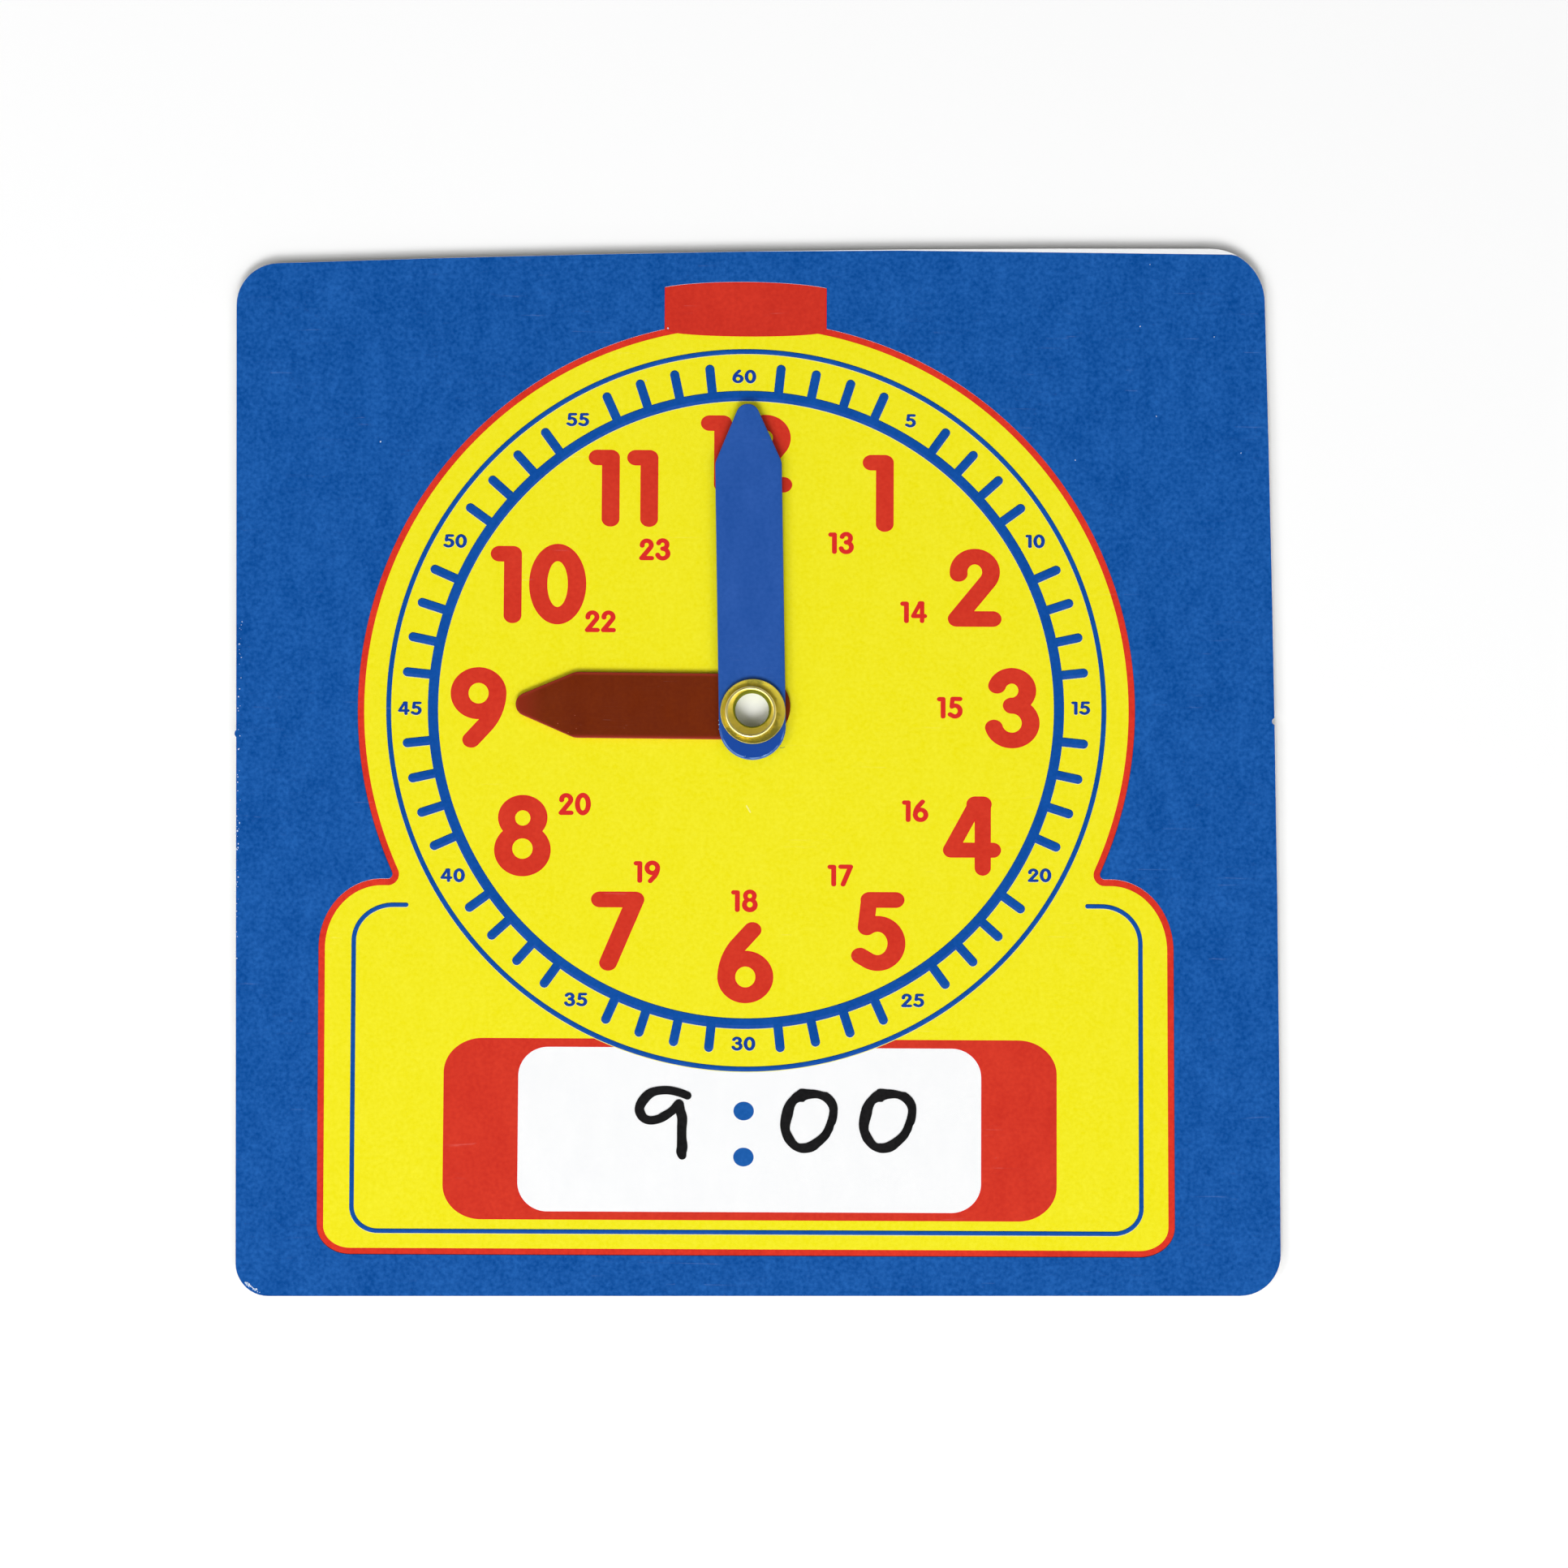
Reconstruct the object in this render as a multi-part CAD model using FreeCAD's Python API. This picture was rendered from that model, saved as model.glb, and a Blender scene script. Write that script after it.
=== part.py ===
import FreeCAD, Part
import math
import os

# A pupil's teaching clock: a laminated square card with two plastic hands that
# turn by friction on one hollow brass eyelet. It lies on its back. The origin
# is on the eyelet's axis, in the plane of the eyelet's back flange; +Z points
# out of the dial and +Y points to the twelve. Lengths are in millimetres and
# angles in degrees.

# Card: a white board between two clear films, die-cut in one stroke. The die
# sits a little askew: the sides lean left towards the top, the bottom edge
# rises and the top edge falls towards one end, and two edges bow outwards.
card_width = 114.10
card_height = 115.82
side_lean = 1.50
bottom_rise = 0.47
top_fall = 2.58
top_bow = 0.61
right_bow = 0.38
pivot_from_left = 55.95
pivot_from_bottom = 64.41
corner_top_left = 4.70
corner_top_right = 6.00
corner_bottom_right = 4.50
corner_bottom_left = 3.60
board_thickness = 0.60
film_thickness = 0.075

# Marks that the die's holding tabs leave: a torn nub on the left edge and a
# shallow bite out of the right edge.
nub_height = -2.90
nub_radius = 0.50
nub_reach = 0.18
bite_height = -0.90
bite_radius = 0.40
bite_depth = 0.27

# Hands: die-cut plastic strips with one pointed end, stacked on the card.
hand_thickness = 0.45
hand_edge_radius = 0.10
hand_tip_length = 6.50
hand_tip_radius = 1.30
hand_shoulder_radius = 1.80
minute_width = 7.35
minute_length = 33.94
minute_tail = 5.55
minute_lean = 1.15
hour_width = 7.27
hour_length = 26.03
hour_tail = 4.21
hour_lean = 0.30
hour_offset = 0.35

# Eyelet: one thin brass tube with a factory flange at the back. Its front end
# flares to a wider mouth and is rolled into a curl over a loose dished washer.
bore_radius = 1.92
mouth_radius = 2.14
eyelet_wall = 0.25
flange_radius = 3.50
flange_height = 0.50
flange_bend = 0.20
curl_inner_radius = 0.21
curl_seat_drop = 0.18
washer_radius = 3.58
washer_thickness = 0.25
washer_flat_radius = 3.10
washer_right = 0.08
washer_drop = 0.26
washer_dish = 0.12
washer_bevel = 0.07

# Clearances
hand_gap = 0.05
hand_running_clearance = 0.05
washer_clearance = 0.43
card_hole_clearance = 0.13

# Heights of the stack, from the resting plane up
back_film_base = flange_height
board_base = back_film_base + film_thickness
front_film_base = board_base + board_thickness
card_top = front_film_base + film_thickness
hour_base = card_top + hand_gap
minute_base = hour_base + hand_thickness + hand_gap
washer_base = minute_base + hand_thickness + hand_gap
washer_seat = washer_base + washer_dish + washer_thickness
curl_centre_height = washer_seat + curl_seat_drop

# Radii about the eyelet's axis
barrel_radius = bore_radius + eyelet_wall
card_hole_radius = barrel_radius + card_hole_clearance
hand_hole_radius = barrel_radius + hand_running_clearance
washer_hole_radius = barrel_radius + washer_clearance
curl_outer_radius = curl_inner_radius + eyelet_wall
curl_centre_radius = mouth_radius + curl_outer_radius

UP = FreeCAD.Vector(0, 0, 1)
ORIGIN = FreeCAD.Vector(0, 0, 0)


def point(x, y, z=0.0):
    return FreeCAD.Vector(x, y, z)


def line(start, end):
    return Part.LineSegment(start, end).toShape()


def arc(start, middle, end):
    return Part.Arc(start, middle, end).toShape()


def on_circle(centre, radius, degrees):
    angle = math.radians(degrees)
    return point(centre[0] + radius * math.cos(angle), centre[1] + radius * math.sin(angle))


def plate(edges, base, thickness):
    """A flat plate from the closed outline that the edges make in the plane z = 0."""
    face = Part.Face(Part.Wire(edges))
    face.translate(UP * base)
    return face.extrude(UP * thickness)


def upright_edges(solid, corner):
    """The plate's upright edges at one corner of its outline."""
    found = []
    for edge in solid.Edges:
        ends = [math.hypot(v.X - corner.x, v.Y - corner.y) for v in edge.Vertexes]
        if len(ends) == 2 and max(ends) < 1e-6:
            found.append(edge)
    return found


def round_corners(solid, corners):
    for corner, radius in corners:
        solid = solid.makeFillet(radius, upright_edges(solid, corner))
    return solid


def punch(solid, radius, base, thickness):
    """A round hole through a plate, on the eyelet's axis."""
    return solid.cut(Part.makeCylinder(radius, 3 * thickness, point(0, 0, base - thickness)))


def export(solid, node):
    solid.exportStep("parts/" + node + ".step")


# ---- Card: board and both films share one die-cut outline ----

def card_sheet(base, thickness):
    bottom_left = point(-pivot_from_left, -pivot_from_bottom)
    bottom_right = bottom_left + point(card_width, bottom_rise)
    top_right = bottom_right + point(-side_lean, card_height)
    top_left = bottom_left + point(-side_lean, card_height + bottom_rise - top_fall)
    right_middle = (bottom_right + top_right) * 0.5 + point(right_bow, 0)
    top_middle = (top_right + top_left) * 0.5 + point(0, top_bow)
    right_edge = arc(bottom_right, right_middle, top_right)
    edges = [
        line(bottom_left, bottom_right),
        right_edge,
        arc(top_right, top_middle, top_left),
        line(top_left, bottom_left),
    ]
    sheet = plate(edges, base, thickness)
    sheet = round_corners(
        sheet,
        [
            (top_left, corner_top_left),
            (top_right, corner_top_right),
            (bottom_right, corner_bottom_right),
            (bottom_left, corner_bottom_left),
        ],
    )

    # the nub stands out of the straight left edge
    share = (nub_height - bottom_left.y) / (top_left.y - bottom_left.y)
    nub_x = bottom_left.x - side_lean * share - nub_reach + nub_radius
    nub_centre = point(nub_x, nub_height, base)
    sheet = sheet.fuse(Part.makeCylinder(nub_radius, thickness, nub_centre)).removeSplitter()

    # the bite is taken where the bowed right edge is at that height
    bow = right_edge.Curve
    edge_x = bow.Center.x + math.sqrt(bow.Radius**2 - (bite_height - bow.Center.y) ** 2)
    bite_centre = point(edge_x - bite_depth + bite_radius, bite_height, base - thickness)
    sheet = sheet.cut(Part.makeCylinder(bite_radius, 3 * thickness, bite_centre))

    return punch(sheet, card_hole_radius, base, thickness)


# ---- Hands: both are cut to one pattern, with a pointed and a round end ----

def tip_tangent(shoulder, centre, radius):
    """Where a straight edge from the right shoulder meets the tip's rounding."""
    away = shoulder - centre
    reach = away.Length
    along = away * (radius**2 / reach**2)
    side = point(-away.y, away.x) * (radius * math.sqrt(reach**2 - radius**2) / reach**2)
    return centre + along + side


def hand(width, length, tail, offset, base):
    """A hand that points along +Y, with its hole on the axis."""
    half = width / 2
    shoulder_y = length - hand_tip_length
    tail_centre = (offset, half - tail)
    tip_centre = point(0, length - hand_tip_radius)
    right = point(half, shoulder_y)
    touch = tip_tangent(right, tip_centre, hand_tip_radius)

    shift = point(offset, 0)
    right_shoulder = right + shift
    left_shoulder = point(-half, shoulder_y) + shift
    right_touch = touch + shift
    left_touch = point(-touch.x, touch.y) + shift
    tip = point(0, length) + shift
    tail_right = on_circle(tail_centre, half, 0)
    tail_end = on_circle(tail_centre, half, 270)
    tail_left = on_circle(tail_centre, half, 180)
    edges = [
        line(tail_right, right_shoulder),
        line(right_shoulder, right_touch),
        arc(right_touch, tip, left_touch),
        line(left_touch, left_shoulder),
        line(left_shoulder, tail_left),
        arc(tail_left, tail_end, tail_right),
    ]
    strip = plate(edges, base, hand_thickness)
    strip = round_corners(
        strip,
        [(right_shoulder, hand_shoulder_radius), (left_shoulder, hand_shoulder_radius)],
    )

    # the die rolls the upper edge over a little
    top = base + hand_thickness
    rim = [edge for edge in strip.Edges if abs(edge.BoundBox.ZMin - top) < 1e-6]
    strip = strip.makeFillet(hand_edge_radius, rim)

    return punch(strip, hand_hole_radius, base, hand_thickness)


# ---- Eyelet and washer: profiles in the plane of radius and height ----

def revolve(edges):
    """A ring from a closed profile that was drawn as (radius, height)."""
    face = Part.Face(Part.Wire(edges))
    face.rotate(ORIGIN, point(1, 0), 90)
    return face.revolve(ORIGIN, UP, 360)


def runs(points):
    """Straight runs of a profile, from each point to the next."""
    return [line(a, b) for a, b in zip(points, points[1:])]


def bend(centre, radius, start, end):
    """A round stretch of a profile, between two angles about its centre."""
    return arc(
        on_circle(centre, radius, start),
        on_circle(centre, radius, (start + end) / 2),
        on_circle(centre, radius, end),
    )


def facets(centre, radius, angles):
    """Points of a hidden bend, which is drawn as a few straight runs."""
    return [on_circle(centre, radius, degrees) for degrees in angles]


def eyelet():
    """One thin wall: flange rim, flat land, rounded foot, barrel, flare and rolled curl."""
    foot_outer = flange_bend + eyelet_wall
    foot_centre = (bore_radius + foot_outer, foot_outer)
    rim_inner = flange_height - eyelet_wall
    rim_centre = (flange_radius - flange_height, flange_height)
    curl_centre = (curl_centre_radius, curl_centre_height)
    seat_outer = -math.degrees(math.asin(curl_seat_drop / curl_outer_radius))
    seat_inner = -math.degrees(math.asin(curl_seat_drop / curl_inner_radius))

    # the side that shows: curl, flare, bore, foot, land and rim
    shown = [
        bend(curl_centre, curl_outer_radius, seat_outer, 180),
        line(point(mouth_radius, curl_centre_height), point(bore_radius, washer_base)),
        line(point(bore_radius, washer_base), point(bore_radius, foot_outer)),
        bend(foot_centre, foot_outer, 180, 270),
        line(point(foot_centre[0], 0), point(rim_centre[0], 0)),
        bend(rim_centre, flange_height, 270, 360),
    ]

    # the hidden side starts where the rim's end bears on the back film, goes under
    # the flange, up the barrel and round inside the curl, and ends on the washer
    hidden = [point(flange_radius, flange_height)]
    hidden += facets(rim_centre, rim_inner, (360, 315, 270))
    hidden += facets(foot_centre, flange_bend, (270, 225, 180))
    hidden.append(point(barrel_radius, washer_base))
    hidden += facets(curl_centre, curl_inner_radius, (180, 120, 60, 0, seat_inner))
    hidden.append(on_circle(curl_centre, curl_outer_radius, seat_outer))
    return revolve(shown + runs(hidden))


def washer():
    """A thin ring whose skirt slopes down to the minute hand, with a bevelled rim.

    Its hole is loose on the barrel, so it sits a little off the axis under the curl.
    """
    raised = washer_base + washer_dish
    rim_top = washer_base + washer_thickness
    slope = washer_dish / (washer_radius - washer_flat_radius)
    bevel_top = rim_top + washer_bevel * slope
    outline = [
        point(washer_hole_radius, raised),
        point(washer_flat_radius, raised),
        point(washer_radius, washer_base),
        point(washer_radius, rim_top - washer_bevel),
        point(washer_radius - washer_bevel, bevel_top),
        point(washer_flat_radius, washer_seat),
        point(washer_hole_radius, washer_seat),
    ]
    ring = revolve(runs(outline + outline[:1]))
    ring.translate(point(washer_right, -washer_drop))
    return ring


os.makedirs("parts", exist_ok=True)

export(card_sheet(back_film_base, film_thickness), "back_film")
export(card_sheet(board_base, board_thickness), "card_board")
export(card_sheet(front_film_base, film_thickness), "front_film")

# the hour hand points left to the nine, and the minute hand up to the twelve
hour = hand(hour_width, hour_length, hour_tail, hour_offset, hour_base)
hour.rotate(ORIGIN, UP, 90 - hour_lean)
export(hour, "hour_hand")

minute = hand(minute_width, minute_length, minute_tail, 0.0, minute_base)
minute.rotate(ORIGIN, UP, minute_lean)
export(minute, "minute_hand")

export(washer(), "eyelet_washer")
export(eyelet(), "eyelet")
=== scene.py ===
import bmesh
import bpy
import math
import random
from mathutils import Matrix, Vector
from mathutils.geometry import delaunay_2d_cdt


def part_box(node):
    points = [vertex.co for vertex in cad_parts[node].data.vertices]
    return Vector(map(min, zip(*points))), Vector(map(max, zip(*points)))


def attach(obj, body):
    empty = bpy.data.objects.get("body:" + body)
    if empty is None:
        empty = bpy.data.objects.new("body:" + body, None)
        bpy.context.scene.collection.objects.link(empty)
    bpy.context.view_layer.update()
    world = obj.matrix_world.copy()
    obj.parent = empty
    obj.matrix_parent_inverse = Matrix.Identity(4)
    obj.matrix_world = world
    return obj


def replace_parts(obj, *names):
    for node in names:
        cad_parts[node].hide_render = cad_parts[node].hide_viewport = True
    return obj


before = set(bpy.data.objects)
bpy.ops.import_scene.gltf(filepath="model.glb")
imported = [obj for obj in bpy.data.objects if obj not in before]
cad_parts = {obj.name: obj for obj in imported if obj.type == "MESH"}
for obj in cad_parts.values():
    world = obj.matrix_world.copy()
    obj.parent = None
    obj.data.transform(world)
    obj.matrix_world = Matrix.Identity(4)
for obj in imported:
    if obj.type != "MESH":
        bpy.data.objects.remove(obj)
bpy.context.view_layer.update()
mm = 0.001


# ---- back film -------------------------------------------------------------
# Clear polyester laminating film on the underside of the card. It is bonded by
# heat and pressure, and the same die cuts it with the board, edge to edge.

def put(tree, kind, sockets, **settings):
    """A shader node: sockets gives its inputs as values or as links from other nodes."""
    made = tree.nodes.new(kind)
    for name, value in settings.items():
        setattr(made, name, value)
    for name, value in sockets.items():
        if isinstance(value, bpy.types.NodeSocket):
            tree.links.new(value, made.inputs[name])
        else:
            made.inputs[name].default_value = value
    return made


def work_out(tree, operation, *terms):
    """The value output of one Math node."""
    return put(tree, "ShaderNodeMath", dict(enumerate(terms)), operation=operation).outputs[0]


def shape_of(tree, value, low, high, from_low=0.0, from_high=1.0):
    """A smooth step of value between two limits."""
    return put(
        tree,
        "ShaderNodeMapRange",
        {"Value": value, "From Min": low, "From Max": high, "To Min": from_low, "To Max": from_high},
        interpolation_type="SMOOTHSTEP",
    ).outputs["Result"]


def blend(tree, share, first, second):
    """A colour between two others, which are given as colours or as links."""
    return put(tree, "ShaderNodeMix", {0: share, 6: first, 7: second}, data_type="RGBA").outputs[2]


def along(tree, place, way):
    """How far a place lies in one direction."""
    return put(tree, "ShaderNodeVectorMath", {0: place, 1: way}, operation="DOT_PRODUCT").outputs["Value"]


def front_side(tree):
    """One on the outside of a surface and nothing on its inside."""
    return work_out(tree, "SUBTRACT", 1.0, tree.nodes.new("ShaderNodeNewGeometry").outputs["Backfacing"])


def new_group(name, takes, gives):
    """A node group from the names and kinds of its sockets, with its two end nodes."""
    tree = bpy.data.node_groups.new(name, "ShaderNodeTree")
    for way, sockets in (("INPUT", takes), ("OUTPUT", gives)):
        for socket, kind in sockets.items():
            tree.interface.new_socket(name=socket, in_out=way, socket_type="NodeSocket" + kind)
    return tree, tree.nodes.new("NodeGroupInput"), tree.nodes.new("NodeGroupOutput")


def new_finish(name):
    """A material with its node tree, its Principled shader and a coordinate fixed to the piece."""
    finish = bpy.data.materials.new(name)
    finish.use_nodes = True
    tree = finish.node_tree
    place = tree.nodes.new("ShaderNodeTexCoord").outputs["Object"]
    return finish, tree, tree.nodes["Principled BSDF"], place


def dress(node, finish):
    """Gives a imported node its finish."""
    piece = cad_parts[node]
    if not piece.material_slots:
        piece.data.materials.append(finish)
    for holder in piece.material_slots:
        holder.material = finish
    return piece


# Handling wear, used by the films and the plastic hands: long fine scratches that lie
# in two directions, and a soft unevenness of the pressed surface.
handling, took, gave = new_group(
    "handling_wear",
    {"Place": "Vector", "Scratch Width": "Float", "Ripple Size": "Float"},
    {"Scratches": "Float", "Ripple": "Float"},
)
scratch_length, patch_size, patch_share = 1500.0, 130.0, 0.56
scratch_set = []
for turn, lengthwise in ((0.5, 40.0), (-1.1, 55.0)):
    turned = put(
        handling, "ShaderNodeMapping",
        {
            "Vector": took.outputs["Place"],
            "Rotation": (0, 0, turn), "Scale": (lengthwise, scratch_length, 1.0),
        },
    )
    streak = put(handling, "ShaderNodeTexNoise", {"Vector": turned.outputs[0], "Scale": 1.0, "Detail": 1.0})
    middle = work_out(handling, "ABSOLUTE", work_out(handling, "SUBTRACT", streak.outputs["Fac"], 0.5))
    line = work_out(handling, "LESS_THAN", middle, took.outputs["Scratch Width"])
    patch = put(
        handling, "ShaderNodeTexNoise", {"Vector": took.outputs["Place"], "Scale": patch_size + lengthwise}
    )
    here = work_out(handling, "GREATER_THAN", patch.outputs["Fac"], patch_share)
    scratch_set.append(work_out(handling, "MULTIPLY", line, here))
ripple = put(
    handling, "ShaderNodeTexNoise",
    {"Vector": took.outputs["Place"], "Scale": took.outputs["Ripple Size"], "Detail": 2.0},
)
handling.links.new(work_out(handling, "MAXIMUM", *scratch_set), gave.inputs["Scratches"])
handling.links.new(ripple.outputs["Fac"], gave.inputs["Ripple"])


def clear_film(name, roughness, scratch_width, scratch_mark):
    """See-through film: only its gloss, its scratches and a trace of haze are seen."""
    finish, tree, shader, place = new_finish(name)
    wear = put(
        tree, "ShaderNodeGroup",
        {"Place": place, "Scratch Width": scratch_width, "Ripple Size": 900.0}, node_tree=handling,
    )
    dent = put(
        tree, "ShaderNodeBump", {"Strength": 0.25, "Distance": 0.01 * mm, "Height": wear.outputs["Ripple"]}
    )
    gloss = put(tree, "ShaderNodeFresnel", {"IOR": 1.49, "Normal": dent.outputs[0]}).outputs[0]
    mark = work_out(tree, "MULTIPLY", wear.outputs["Scratches"], scratch_mark)
    seen = work_out(tree, "MULTIPLY", work_out(tree, "ADD", gloss, mark), front_side(tree))
    tree.links.new(seen, shader.inputs["Alpha"])
    tree.links.new(work_out(tree, "SUBTRACT", 1.0, wear.outputs["Scratches"]), shader.inputs["Metallic"])
    uneven = work_out(tree, "MULTIPLY_ADD", wear.outputs["Ripple"], 0.08, roughness)
    tree.links.new(uneven, shader.inputs["Roughness"])
    tree.links.new(dent.outputs[0], shader.inputs["Normal"])
    shader.inputs["Base Color"].default_value = (0.93, 0.95, 0.96, 1)
    return finish


dress("back_film", clear_film("back_film_clear", 0.16, 0.004, 0.05))


# ---- card board ------------------------------------------------------------
# Stiff white board, 0.60 mm, die cut with rounded corners. Its cut edge shows the
# pressed grey-white fibre layers, and its face and back are sized smooth.

board_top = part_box("card_board")[1].z / mm
board_finish, tree, shader, place = new_finish("white_board")
layers = put(tree, "ShaderNodeMapping", {"Vector": place, "Scale": (500.0, 500.0, 14000.0)})
fibres = put(tree, "ShaderNodeTexNoise", {"Vector": layers.outputs[0], "Scale": 1.0, "Detail": 4.0})
cloud = put(tree, "ShaderNodeTexNoise", {"Vector": place, "Scale": 260.0, "Detail": 3.0})
facing = tree.nodes.new("ShaderNodeNewGeometry").outputs["Normal"]
upright = put(tree, "ShaderNodeSeparateXYZ", {"Vector": facing}).outputs["Z"]
edge_on = work_out(tree, "SUBTRACT", 1.0, work_out(tree, "ABSOLUTE", upright))
edge_tone = blend(tree, fibres.outputs["Fac"], (0.62, 0.61, 0.52, 1), (0.86, 0.86, 0.80, 1))
face_tone = blend(tree, cloud.outputs["Fac"], (0.90, 0.91, 0.92, 1), (0.96, 0.96, 0.96, 1))
tree.links.new(blend(tree, edge_on, face_tone, edge_tone), shader.inputs["Base Color"])
fuzz = put(tree, "ShaderNodeBump", {"Strength": 0.5, "Distance": 0.02 * mm, "Height": fibres.outputs["Fac"]})
tree.links.new(fuzz.outputs[0], shader.inputs["Normal"])
shader.inputs["Roughness"].default_value = 0.85
shader.inputs["Specular IOR Level"].default_value = 0.15
dress("card_board", board_finish)


# ---- blue ground -----------------------------------------------------------
# Offset-printed blue over the whole front of the board, under the film. The die cut
# runs a little off the print along the top, so a sliver of bare board shows there.

chord_error, least_radius = 0.002, 0.02


def arc(x, y, across, up, start, end):
    """Points along part of an oval, from one angle to another in degrees."""
    fine = math.sqrt(8 * chord_error / max(across, up, least_radius))
    count = max(3, math.ceil(math.radians(abs(end - start)) / fine))
    angles = [math.radians(start + (end - start) * k / count) for k in range(count + 1)]
    return [(x + across * math.cos(a), y + up * math.sin(a)) for a in angles]


def oval(x, y, across, up):
    """A closed outline without a doubled end point."""
    return arc(x, y, across, up, 0, 360)[:-1]


def rounded_box(left, right, low, high, across, up):
    """A box whose corners are quarter ovals."""
    return (
        arc(right - across, high - up, across, up, 0, 90)
        + arc(left + across, high - up, across, up, 90, 180)
        + arc(left + across, low + up, across, up, 180, 270)
        + arc(right - across, low + up, across, up, 270, 360)
    )


def moved(shape, x, y):
    """The same shape, printed a little off its place."""
    return [[[(px + x, py + y) for px, py in line] for line in lines] for lines in shape]


def divide(*shapes):
    """Lays shapes over each other, each of outlines and holes, and cuts them where they cross.
    Gives the corners, and the faces with the set of shapes that each face belongs to."""
    points, faces, owner = [], [], []
    for number, shape in enumerate(shapes):
        for is_hole, lines in enumerate(shape):
            for line in lines:
                area = sum(a[0] * b[1] - b[0] * a[1] for a, b in zip(line, [*line[1:], line[0]]))
                faces.append(list(range(len(points), len(points) + len(line))))
                points += [Vector(p) for p in (line if area > 0 else line[::-1])]
                owner.append((number, bool(is_hole)))
    corners, _, cut, _, _, origins = delaunay_2d_cdt(points, [], faces, 1, 1e-6)
    found = []
    for face, inside in zip(cut, origins):
        of = {owner[k] for k in inside}
        found.append((face, frozenset(n for n, hole in of if not hole and (n, True) not in of)))
    return corners, found


ink_step = 0.005


def in_scene(name, data):
    """A new object in the scene, from its mesh, lamp or camera."""
    made = bpy.data.objects.new(name, data)
    bpy.context.scene.collection.objects.link(made)
    return made


def ink(name, pattern, paints, level, floor=board_top + 0.001, body="card"):
    """A printed or written coat: a very thin closed slab over the faces that have a paint."""
    corners, found = pattern
    top = (floor + ink_step * level) * mm
    low = floor * mm
    kept = [(face, paints[inside]) for face, inside in found if inside in paints]
    order = {}
    for face, _ in kept:
        for k in face:
            order.setdefault(k, len(order))
    flat = [corners[k] * mm for k in order]
    count = len(flat)
    upper = [[order[k] for k in face] for face, _ in kept]
    directed = {(face[k - 1], face[k]) for face in upper for k in range(len(face))}
    rim = [(a, b) for a, b in directed if (b, a) not in directed]
    finishes = list(dict.fromkeys(paints.values()))
    mesh = bpy.data.meshes.new(name)
    mesh.from_pydata(
        [(p.x, p.y, top) for p in flat] + [(p.x, p.y, low) for p in flat],
        [],
        upper + [[k + count for k in face[::-1]] for face in upper]
        + [[b, a, a + count, b + count] for a, b in rim],
    )
    for finish in finishes:
        mesh.materials.append(finish)
    for number, (_, finish) in enumerate(kept):
        mesh.polygons[number].material_index = finishes.index(finish)
        mesh.polygons[number + len(kept)].material_index = finishes.index(finish)
    piece = in_scene(name, mesh)
    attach(piece, body)
    return piece


def screen(red, green, blue):
    """A colour from its 0 to 255 screen values."""
    def linear(v):
        return v / 12.92 if v <= 0.04045 else ((v + 0.055) / 1.055) ** 2.4
    return tuple(linear(v / 255) for v in (red, green, blue)) + (1.0,)


# Printed solids are never even: fibres take the ink in fine grain and in soft clouds.
mottle, took, gave = new_group(
    "ink_mottle",
    {"Place": "Vector", "Ink": "Color", "Second Ink": "Color", "Grain": "Float", "Clouds": "Float"},
    {"Colour": "Color"},
)
grain = put(mottle, "ShaderNodeTexNoise", {"Vector": took.outputs["Place"], "Scale": 2300.0, "Detail": 3.0})
drawn = put(mottle, "ShaderNodeMapping", {"Vector": took.outputs["Place"], "Scale": (420.0, 210.0, 210.0)})
cloud = put(mottle, "ShaderNodeTexNoise", {"Vector": drawn.outputs[0], "Scale": 1.0, "Detail": 3.0})
swings = []
for noise, amount in ((grain, "Grain"), (cloud, "Clouds")):
    swing = work_out(mottle, "SUBTRACT", noise.outputs["Fac"], 0.5)
    swings.append(work_out(mottle, "MULTIPLY", swing, took.outputs[amount]))
share = work_out(mottle, "ADD", work_out(mottle, "ADD", *swings), 0.5)
mottle.links.new(
    blend(mottle, share, took.outputs["Ink"], took.outputs["Second Ink"]), gave.inputs["Colour"]
)


def mottled(tree, place, dark, light, grain, clouds):
    """A colour that drifts between a dark and a light one."""
    return put(
        tree, "ShaderNodeGroup",
        {"Place": place, "Ink": dark, "Second Ink": light, "Grain": grain, "Clouds": clouds},
        node_tree=mottle,
    ).outputs["Colour"]


def printed(name, dark, light, grain=1.2, clouds=0.9, roughness=0.55):
    """An ink as it looks under the film, with no gloss of its own."""
    finish, tree, shader, place = new_finish(name)
    tree.links.new(mottled(tree, place, dark, light, grain, clouds), shader.inputs["Base Color"])
    shader.inputs["Roughness"].default_value = roughness
    shader.inputs["Specular IOR Level"].default_value = 0.0
    return finish


ground_blue = printed("ground_blue", screen(8, 73, 150), screen(35, 100, 181), 1.9, 0.9)
bare_board = printed("bare_board", screen(247, 248, 249), screen(255, 255, 255), 0.8, 0.8)

# The print keeps a hair back from the cut, and along the top it ends on a straight line
# of its own, which the die's line leaves to the right of the middle.
print_margin = 0.02
print_top, print_top_fall = 51.49, 0.005
well_outside_hole = 20


def die_cut_edge():
    """The board's outline, in order round its upper face."""
    corners = [v.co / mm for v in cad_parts["card_board"].data.vertices]
    rim = [p for p in corners if p.z > board_top - 0.001 and p.xy.length > well_outside_hole]
    return sorted(rim, key=lambda p: math.atan2(p.y, p.x))


ground_line = []
for corner in die_cut_edge():
    x, y = corner.xy * (1 - print_margin / corner.xy.length)
    ground_line.append((x, min(y, print_top - print_top_fall * x)))
eyelet_hole = oval(0, 0, 2.35, 2.35)
ink("print_blue_ground", divide([[ground_line], [eyelet_hole]]), {frozenset({0}): ground_blue}, 1)


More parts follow.
